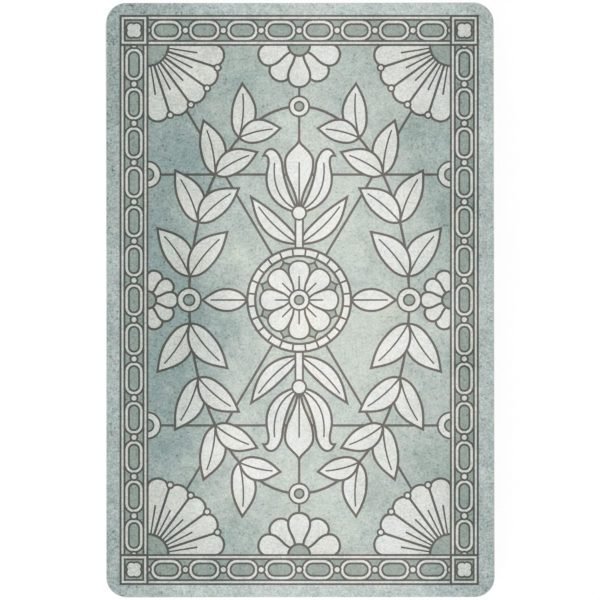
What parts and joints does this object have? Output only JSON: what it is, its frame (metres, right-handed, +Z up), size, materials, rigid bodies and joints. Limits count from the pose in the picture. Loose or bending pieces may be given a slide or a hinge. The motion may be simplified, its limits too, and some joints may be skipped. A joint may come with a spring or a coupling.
{
  "type": "oracle card deck",
  "caption": "Squared stack of loose, round-cornered cards with printed sage-grey backs, to be fanned, drawn from and turned over.",
  "frame": {"origin": "middle of the lowest card's underside, on the surface that the deck lies on", "axes": "+Z up through the deck, +Y along the cards to their top edge, +X to their right edge seen from above"},
  "size_m": [0.0885, 0.1354, 0.0176],
  "materials": {
    "card": "satin"
  },
  "bodies": {
    "card_01": {"card_01": "card"},
    "card_02": {"card_02": "card"},
    "card_03": {"card_03": "card"},
    "card_04": {"card_04": "card"},
    "card_05": {"card_05": "card"},
    "card_06": {"card_06": "card"},
    "card_07": {"card_07": "card"},
    "card_08": {"card_08": "card"},
    "card_09": {"card_09": "card"},
    "card_10": {"card_10": "card"},
    "card_11": {"card_11": "card"},
    "card_12": {"card_12": "card"},
    "card_13": {"card_13": "card"},
    "card_14": {"card_14": "card"},
    "card_15": {"card_15": "card"},
    "card_16": {"card_16": "card"},
    "card_17": {"card_17": "card"},
    "card_18": {"card_18": "card"},
    "card_19": {"card_19": "card"},
    "card_20": {"card_20": "card"},
    "card_21": {"card_21": "card"},
    "card_22": {"card_22": "card"},
    "card_23": {"card_23": "card"},
    "card_24": {"card_24": "card"},
    "card_25": {"card_25": "card"},
    "card_26": {"card_26": "card"},
    "card_27": {"card_27": "card"},
    "card_28": {"card_28": "card"},
    "card_29": {"card_29": "card"},
    "card_30": {"card_30": "card"},
    "card_31": {"card_31": "card"},
    "card_32": {"card_32": "card"},
    "card_33": {"card_33": "card"},
    "card_34": {"card_34": "card"},
    "card_35": {"card_35": "card"},
    "card_36": {"card_36": "card"},
    "card_37": {"card_37": "card"},
    "card_38": {"card_38": "card"},
    "card_39": {"card_39": "card"},
    "card_40": {"card_40": "card"},
    "card_41": {"card_41": "card"},
    "card_42": {"card_42": "card"},
    "card_43": {"card_43": "card"},
    "card_44": {"card_44": "card"}
  },
  "joints": [
    {"name": "card_draw", "type": "slide", "parent": "card_21", "child": "card_22", "axis": [0, 1, 0], "range_m": [0, 0.14]},
    {"name": "fan_spread", "type": "hinge", "parent": "card_01", "child": "card_43", "pos_m": [0, -0.0495, 0.0168], "axis": [0, 0, -1], "range_deg": [0, 120]},
    {"name": "top_card_turn", "type": "hinge", "parent": "card_43", "child": "card_44", "pos_m": [-0.044, 0, 0.01738], "axis": [0, -1, 0], "range_deg": [0, 180]},
    {"name": "fan_card_02", "type": "hinge", "parent": "card_01", "child": "card_02", "pos_m": [0, -0.0495, 0.0004], "axis": [0, 0, -1], "range_deg": [0, 2.93]},
    {"name": "fan_card_03", "type": "hinge", "parent": "card_01", "child": "card_03", "pos_m": [0, -0.0495, 0.0008], "axis": [0, 0, -1], "range_deg": [0, 5.85]},
    {"name": "fan_card_04", "type": "hinge", "parent": "card_01", "child": "card_04", "pos_m": [0, -0.0495, 0.0012], "axis": [0, 0, -1], "range_deg": [0, 8.78]},
    {"name": "fan_card_05", "type": "hinge", "parent": "card_01", "child": "card_05", "pos_m": [0, -0.0495, 0.0016], "axis": [0, 0, -1], "range_deg": [0, 11.71]},
    {"name": "fan_card_06", "type": "hinge", "parent": "card_01", "child": "card_06", "pos_m": [0, -0.0495, 0.002], "axis": [0, 0, -1], "range_deg": [0, 14.63]},
    {"name": "fan_card_07", "type": "hinge", "parent": "card_01", "child": "card_07", "pos_m": [0, -0.0495, 0.0024], "axis": [0, 0, -1], "range_deg": [0, 17.56]},
    {"name": "fan_card_08", "type": "hinge", "parent": "card_01", "child": "card_08", "pos_m": [0, -0.0495, 0.0028], "axis": [0, 0, -1], "range_deg": [0, 20.49]},
    {"name": "fan_card_09", "type": "hinge", "parent": "card_01", "child": "card_09", "pos_m": [0, -0.0495, 0.0032], "axis": [0, 0, -1], "range_deg": [0, 23.41]},
    {"name": "fan_card_10", "type": "hinge", "parent": "card_01", "child": "card_10", "pos_m": [0, -0.0495, 0.0036], "axis": [0, 0, -1], "range_deg": [0, 26.34]},
    {"name": "fan_card_11", "type": "hinge", "parent": "card_01", "child": "card_11", "pos_m": [0, -0.0495, 0.004], "axis": [0, 0, -1], "range_deg": [0, 29.27]},
    {"name": "fan_card_12", "type": "hinge", "parent": "card_01", "child": "card_12", "pos_m": [0, -0.0495, 0.0044], "axis": [0, 0, -1], "range_deg": [0, 32.2]},
    {"name": "fan_card_13", "type": "hinge", "parent": "card_01", "child": "card_13", "pos_m": [0, -0.0495, 0.0048], "axis": [0, 0, -1], "range_deg": [0, 35.12]},
    {"name": "fan_card_14", "type": "hinge", "parent": "card_01", "child": "card_14", "pos_m": [0, -0.0495, 0.0052], "axis": [0, 0, -1], "range_deg": [0, 38.05]},
    {"name": "fan_card_15", "type": "hinge", "parent": "card_01", "child": "card_15", "pos_m": [0, -0.0495, 0.0056], "axis": [0, 0, -1], "range_deg": [0, 40.98]},
    {"name": "fan_card_16", "type": "hinge", "parent": "card_01", "child": "card_16", "pos_m": [0, -0.0495, 0.006], "axis": [0, 0, -1], "range_deg": [0, 43.9]},
    {"name": "fan_card_17", "type": "hinge", "parent": "card_01", "child": "card_17", "pos_m": [0, -0.0495, 0.0064], "axis": [0, 0, -1], "range_deg": [0, 46.83]},
    {"name": "fan_card_18", "type": "hinge", "parent": "card_01", "child": "card_18", "pos_m": [0, -0.0495, 0.0068], "axis": [0, 0, -1], "range_deg": [0, 49.76]},
    {"name": "fan_card_19", "type": "hinge", "parent": "card_01", "child": "card_19", "pos_m": [0, -0.0495, 0.0072], "axis": [0, 0, -1], "range_deg": [0, 52.68]},
    {"name": "fan_card_20", "type": "hinge", "parent": "card_01", "child": "card_20", "pos_m": [0, -0.0495, 0.0076], "axis": [0, 0, -1], "range_deg": [0, 55.61]},
    {"name": "fan_card_21", "type": "hinge", "parent": "card_01", "child": "card_21", "pos_m": [0, -0.0495, 0.008], "axis": [0, 0, -1], "range_deg": [0, 58.54]},
    {"name": "fan_card_23", "type": "hinge", "parent": "card_01", "child": "card_23", "pos_m": [0, -0.0495, 0.0088], "axis": [0, 0, -1], "range_deg": [0, 61.46]},
    {"name": "fan_card_24", "type": "hinge", "parent": "card_01", "child": "card_24", "pos_m": [0, -0.0495, 0.0092], "axis": [0, 0, -1], "range_deg": [0, 64.39]},
    {"name": "fan_card_25", "type": "hinge", "parent": "card_01", "child": "card_25", "pos_m": [0, -0.0495, 0.0096], "axis": [0, 0, -1], "range_deg": [0, 67.32]},
    {"name": "fan_card_26", "type": "hinge", "parent": "card_01", "child": "card_26", "pos_m": [0, -0.0495, 0.01], "axis": [0, 0, -1], "range_deg": [0, 70.24]},
    {"name": "fan_card_27", "type": "hinge", "parent": "card_01", "child": "card_27", "pos_m": [0, -0.0495, 0.0104], "axis": [0, 0, -1], "range_deg": [0, 73.17]},
    {"name": "fan_card_28", "type": "hinge", "parent": "card_01", "child": "card_28", "pos_m": [0, -0.0495, 0.0108], "axis": [0, 0, -1], "range_deg": [0, 76.1]},
    {"name": "fan_card_29", "type": "hinge", "parent": "card_01", "child": "card_29", "pos_m": [0, -0.0495, 0.0112], "axis": [0, 0, -1], "range_deg": [0, 79.03]},
    {"name": "fan_card_30", "type": "hinge", "parent": "card_01", "child": "card_30", "pos_m": [0, -0.0495, 0.0116], "axis": [0, 0, -1], "range_deg": [0, 81.95]},
    {"name": "fan_card_31", "type": "hinge", "parent": "card_01", "child": "card_31", "pos_m": [0, -0.0495, 0.012], "axis": [0, 0, -1], "range_deg": [0, 84.88]},
    {"name": "fan_card_32", "type": "hinge", "parent": "card_01", "child": "card_32", "pos_m": [0, -0.0495, 0.0124], "axis": [0, 0, -1], "range_deg": [0, 87.81]},
    {"name": "fan_card_33", "type": "hinge", "parent": "card_01", "child": "card_33", "pos_m": [0, -0.0495, 0.0128], "axis": [0, 0, -1], "range_deg": [0, 90.73]},
    {"name": "fan_card_34", "type": "hinge", "parent": "card_01", "child": "card_34", "pos_m": [0, -0.0495, 0.0132], "axis": [0, 0, -1], "range_deg": [0, 93.66]},
    {"name": "fan_card_35", "type": "hinge", "parent": "card_01", "child": "card_35", "pos_m": [0, -0.0495, 0.0136], "axis": [0, 0, -1], "range_deg": [0, 96.59]},
    {"name": "fan_card_36", "type": "hinge", "parent": "card_01", "child": "card_36", "pos_m": [0, -0.0495, 0.014], "axis": [0, 0, -1], "range_deg": [0, 99.51]},
    {"name": "fan_card_37", "type": "hinge", "parent": "card_01", "child": "card_37", "pos_m": [0, -0.0495, 0.0144], "axis": [0, 0, -1], "range_deg": [0, 102.44]},
    {"name": "fan_card_38", "type": "hinge", "parent": "card_01", "child": "card_38", "pos_m": [0, -0.0495, 0.0148], "axis": [0, 0, -1], "range_deg": [0, 105.37]},
    {"name": "fan_card_39", "type": "hinge", "parent": "card_01", "child": "card_39", "pos_m": [0, -0.0495, 0.0152], "axis": [0, 0, -1], "range_deg": [0, 108.29]},
    {"name": "fan_card_40", "type": "hinge", "parent": "card_01", "child": "card_40", "pos_m": [0, -0.0495, 0.0156], "axis": [0, 0, -1], "range_deg": [0, 111.22]},
    {"name": "fan_card_41", "type": "hinge", "parent": "card_01", "child": "card_41", "pos_m": [0, -0.0495, 0.016], "axis": [0, 0, -1], "range_deg": [0, 114.15]},
    {"name": "fan_card_42", "type": "hinge", "parent": "card_01", "child": "card_42", "pos_m": [0, -0.0495, 0.0164], "axis": [0, 0, -1], "range_deg": [0, 117.07]}
  ],
  "couplings": [
    {"joint": "fan_card_02", "follows": "fan_spread", "ratio": 0.02439},
    {"joint": "fan_card_03", "follows": "fan_spread", "ratio": 0.04878},
    {"joint": "fan_card_04", "follows": "fan_spread", "ratio": 0.07317},
    {"joint": "fan_card_05", "follows": "fan_spread", "ratio": 0.09756},
    {"joint": "fan_card_06", "follows": "fan_spread", "ratio": 0.12195},
    {"joint": "fan_card_07", "follows": "fan_spread", "ratio": 0.14634},
    {"joint": "fan_card_08", "follows": "fan_spread", "ratio": 0.17073},
    {"joint": "fan_card_09", "follows": "fan_spread", "ratio": 0.19512},
    {"joint": "fan_card_10", "follows": "fan_spread", "ratio": 0.21951},
    {"joint": "fan_card_11", "follows": "fan_spread", "ratio": 0.2439},
    {"joint": "fan_card_12", "follows": "fan_spread", "ratio": 0.26829},
    {"joint": "fan_card_13", "follows": "fan_spread", "ratio": 0.29268},
    {"joint": "fan_card_14", "follows": "fan_spread", "ratio": 0.31707},
    {"joint": "fan_card_15", "follows": "fan_spread", "ratio": 0.34146},
    {"joint": "fan_card_16", "follows": "fan_spread", "ratio": 0.36585},
    {"joint": "fan_card_17", "follows": "fan_spread", "ratio": 0.39024},
    {"joint": "fan_card_18", "follows": "fan_spread", "ratio": 0.41463},
    {"joint": "fan_card_19", "follows": "fan_spread", "ratio": 0.43902},
    {"joint": "fan_card_20", "follows": "fan_spread", "ratio": 0.46341},
    {"joint": "fan_card_21", "follows": "fan_spread", "ratio": 0.4878},
    {"joint": "fan_card_23", "follows": "fan_spread", "ratio": 0.51219},
    {"joint": "fan_card_24", "follows": "fan_spread", "ratio": 0.53658},
    {"joint": "fan_card_25", "follows": "fan_spread", "ratio": 0.56098},
    {"joint": "fan_card_26", "follows": "fan_spread", "ratio": 0.58537},
    {"joint": "fan_card_27", "follows": "fan_spread", "ratio": 0.60976},
    {"joint": "fan_card_28", "follows": "fan_spread", "ratio": 0.63415},
    {"joint": "fan_card_29", "follows": "fan_spread", "ratio": 0.65854},
    {"joint": "fan_card_30", "follows": "fan_spread", "ratio": 0.68293},
    {"joint": "fan_card_31", "follows": "fan_spread", "ratio": 0.70732},
    {"joint": "fan_card_32", "follows": "fan_spread", "ratio": 0.73171},
    {"joint": "fan_card_33", "follows": "fan_spread", "ratio": 0.7561},
    {"joint": "fan_card_34", "follows": "fan_spread", "ratio": 0.78049},
    {"joint": "fan_card_35", "follows": "fan_spread", "ratio": 0.80488},
    {"joint": "fan_card_36", "follows": "fan_spread", "ratio": 0.82927},
    {"joint": "fan_card_37", "follows": "fan_spread", "ratio": 0.85366},
    {"joint": "fan_card_38", "follows": "fan_spread", "ratio": 0.87805},
    {"joint": "fan_card_39", "follows": "fan_spread", "ratio": 0.90244},
    {"joint": "fan_card_40", "follows": "fan_spread", "ratio": 0.92683},
    {"joint": "fan_card_41", "follows": "fan_spread", "ratio": 0.95122},
    {"joint": "fan_card_42", "follows": "fan_spread", "ratio": 0.97561}
  ]
}
